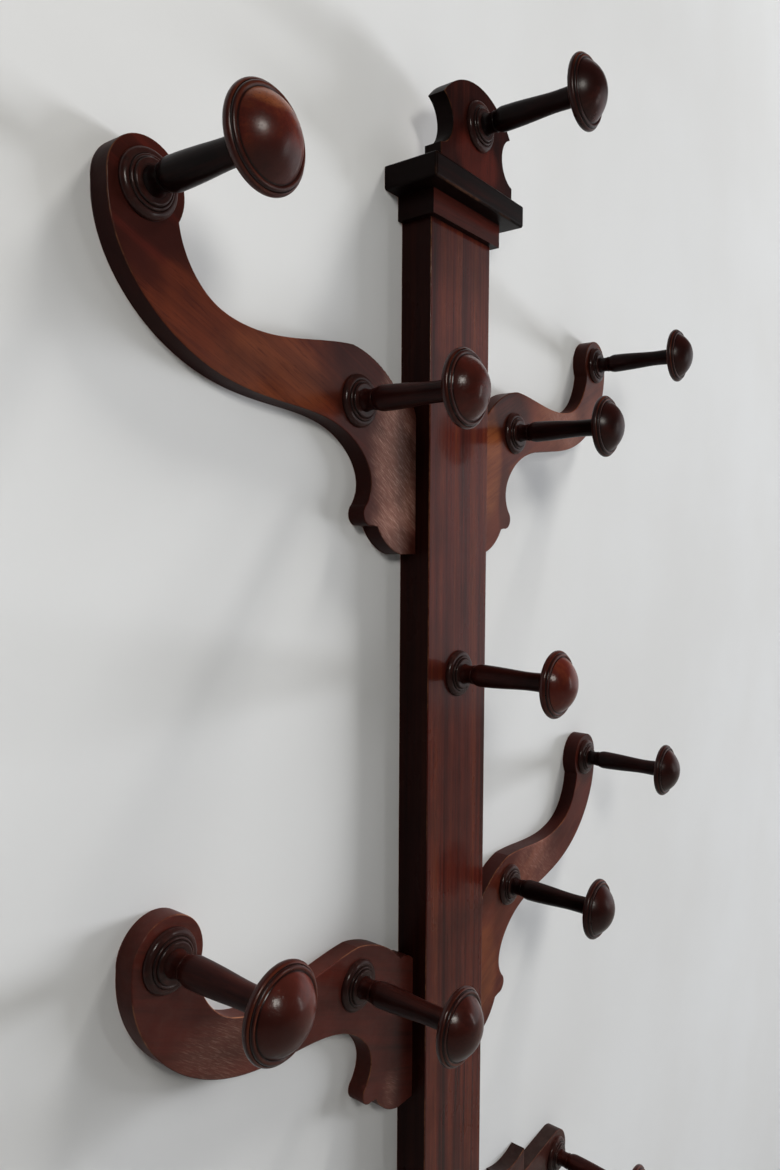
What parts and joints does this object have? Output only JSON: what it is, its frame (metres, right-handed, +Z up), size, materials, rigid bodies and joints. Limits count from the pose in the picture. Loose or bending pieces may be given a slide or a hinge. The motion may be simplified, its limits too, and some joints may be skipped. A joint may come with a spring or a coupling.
{
  "type": "wall coat rack",
  "caption": "Tall wall-hung wooden coat rack: flat post with cap and fretted finial, scrolled side arms and low brackets, all set with turned pegs.",
  "frame": {"origin": "middle of the post's back face, on the wall plane", "axes": "+X to the viewer's right, +Y into the wall, +Z up along the post"},
  "size_m": [0.6968, 0.1587, 1.298],
  "materials": {
    "post_wood": "dark reddish mahogany, French polish",
    "cap_wood": "near-black stained mahogany, satin polish",
    "finial_wood": "dark brown mahogany, satin polish",
    "fretted_wood": "red-brown mahogany, worn French polish",
    "rosette_wood": "turned dark mahogany, satin polish",
    "stem_wood": "turned near-black mahogany, satin polish",
    "knob_wood": "turned red-brown mahogany, glossy polish",
    "dowel_wood": "plain birch, hidden",
    "hanger_brass": "plain brass plate, dulled",
    "screw_steel": "plain steel"
  },
  "bodies": {
    "root": {"arm_dowels": "dowel_wood", "arm_lower_left": "fretted_wood", "arm_lower_right": "fretted_wood", "arm_upper_left": "fretted_wood", "arm_upper_right": "fretted_wood", "bracket_left": "fretted_wood", "bracket_right": "fretted_wood", "cap": "cap_wood", "cap_dowels": "dowel_wood", "finial": "finial_wood", "finial_dowels": "dowel_wood", "hanger_lower": "hanger_brass", "hanger_screws": "screw_steel", "hanger_upper": "hanger_brass", "knob_bracket_left": "knob_wood", "knob_bracket_right": "knob_wood", "knob_finial": "knob_wood", "knob_lower_left_inner": "knob_wood", "knob_lower_left_outer": "knob_wood", "knob_lower_right_inner": "knob_wood", "knob_lower_right_outer": "knob_wood", "knob_post": "knob_wood", "knob_upper_left_inner": "knob_wood", "knob_upper_left_outer": "knob_wood", "knob_upper_right_inner": "knob_wood", "knob_upper_right_outer": "knob_wood", "necking_front": "cap_wood", "necking_left": "cap_wood", "necking_right": "cap_wood", "post": "post_wood", "rosette_bracket_left": "rosette_wood", "rosette_bracket_right": "rosette_wood", "rosette_finial": "rosette_wood", "rosette_lower_left_inner": "rosette_wood", "rosette_lower_left_outer": "rosette_wood", "rosette_lower_right_inner": "rosette_wood", "rosette_lower_right_outer": "rosette_wood", "rosette_post": "rosette_wood", "rosette_upper_left_inner": "rosette_wood", "rosette_upper_left_outer": "rosette_wood", "rosette_upper_right_inner": "rosette_wood", "rosette_upper_right_outer": "rosette_wood", "stem_bracket_left": "stem_wood", "stem_bracket_right": "stem_wood", "stem_finial": "stem_wood", "stem_lower_left_inner": "stem_wood", "stem_lower_left_outer": "stem_wood", "stem_lower_right_inner": "stem_wood", "stem_lower_right_outer": "stem_wood", "stem_post": "stem_wood", "stem_upper_left_inner": "stem_wood", "stem_upper_left_outer": "stem_wood", "stem_upper_right_inner": "stem_wood", "stem_upper_right_outer": "stem_wood"}
  },
  "joints": []
}
